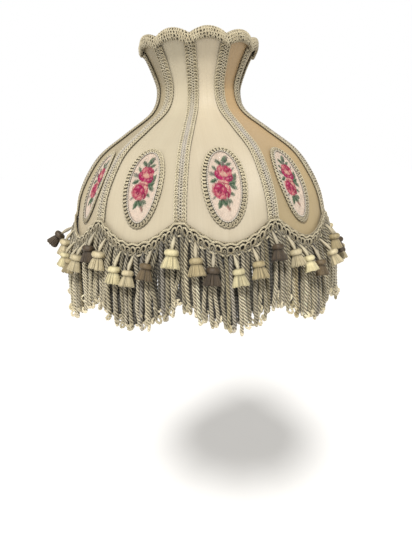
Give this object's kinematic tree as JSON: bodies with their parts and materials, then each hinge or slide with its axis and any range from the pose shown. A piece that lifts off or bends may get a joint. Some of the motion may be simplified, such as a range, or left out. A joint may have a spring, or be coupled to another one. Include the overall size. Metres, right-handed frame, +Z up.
{
  "type": "lamp shade",
  "caption": "Waisted fabric lamp shade with a scalloped rim, glued braid, rose medallions, bullion fringe and tassels, on a wire frame with a tilting fitter.",
  "frame": {"origin": "centre of the fitter washer's underside, the face that sits on the lamp, on the shade's axis", "axes": "+Z up along the shade's axis, from the wide fringed end to the narrow crown; +X through the fitter's left and right pivots and through a rib; -Y through the middle of a panel"},
  "size_m": [0.5312, 0.5384, 0.4557],
  "materials": {
    "shade_fabric": "satin cream fabric, stretched tight",
    "lining_fabric": "plain ivory lining",
    "gimp_braid": "looped cream and olive gimp braid",
    "crown_trim": "plump looped cream and olive braid",
    "scroll_braid": "scrolled cream cord gimp",
    "petit_point": "petit-point needlework with roses",
    "bullion": "twisted cream and olive-brown cord",
    "tassel_yarn": "cut silky yarn, cream, beige and brown",
    "frame_wire": "ivory-coated steel wire",
    "fitter_brass": "brass-plated pressed steel"
  },
  "bodies": {
    "fitter": {"fitter_washer": "fitter_brass"},
    "shade": {"bullion_fringe": "bullion", "crown_braid": "crown_trim", "crown_ring": "frame_wire", "fitter_yoke": "frame_wire", "heading_braid": "scroll_braid", "lining": "lining_fabric", "lower_ring": "frame_wire", "medallion_00": "petit_point", "medallion_01": "petit_point", "medallion_02": "petit_point", "medallion_03": "petit_point", "medallion_04": "petit_point", "medallion_05": "petit_point", "medallion_06": "petit_point", "medallion_07": "petit_point", "medallion_08": "petit_point", "medallion_09": "petit_point", "medallion_braid_00": "gimp_braid", "medallion_braid_01": "gimp_braid", "medallion_braid_02": "gimp_braid", "medallion_braid_03": "gimp_braid", "medallion_braid_04": "gimp_braid", "medallion_braid_05": "gimp_braid", "medallion_braid_06": "gimp_braid", "medallion_braid_07": "gimp_braid", "medallion_braid_08": "gimp_braid", "medallion_braid_09": "gimp_braid", "panel_00": "shade_fabric", "panel_01": "shade_fabric", "panel_02": "shade_fabric", "panel_03": "shade_fabric", "panel_04": "shade_fabric", "panel_05": "shade_fabric", "panel_06": "shade_fabric", "panel_07": "shade_fabric", "panel_08": "shade_fabric", "panel_09": "shade_fabric", "rib_00": "frame_wire", "rib_01": "frame_wire", "rib_02": "frame_wire", "rib_03": "frame_wire", "rib_04": "frame_wire", "rib_05": "frame_wire", "rib_06": "frame_wire", "rib_07": "frame_wire", "rib_08": "frame_wire", "rib_09": "frame_wire", "rib_braid_00": "gimp_braid", "rib_braid_01": "gimp_braid", "rib_braid_02": "gimp_braid", "rib_braid_03": "gimp_braid", "rib_braid_04": "gimp_braid", "rib_braid_05": "gimp_braid", "rib_braid_06": "gimp_braid", "rib_braid_07": "gimp_braid", "rib_braid_08": "gimp_braid", "rib_braid_09": "gimp_braid", "tassel_row": "tassel_yarn"},
    "reducer": {"reducer_insert": "fitter_brass"}
  },
  "joints": [
    {"name": "shade_tilt", "type": "hinge", "parent": "fitter", "child": "shade", "pos_m": [0, 0, 0.001], "axis": [1, 0, 0], "range_deg": [-25, 25]},
    {"name": "reducer_lift", "type": "slide", "parent": "fitter", "child": "reducer", "axis": [0, 0, 1], "range_m": [0, 0.025]}
  ]
}
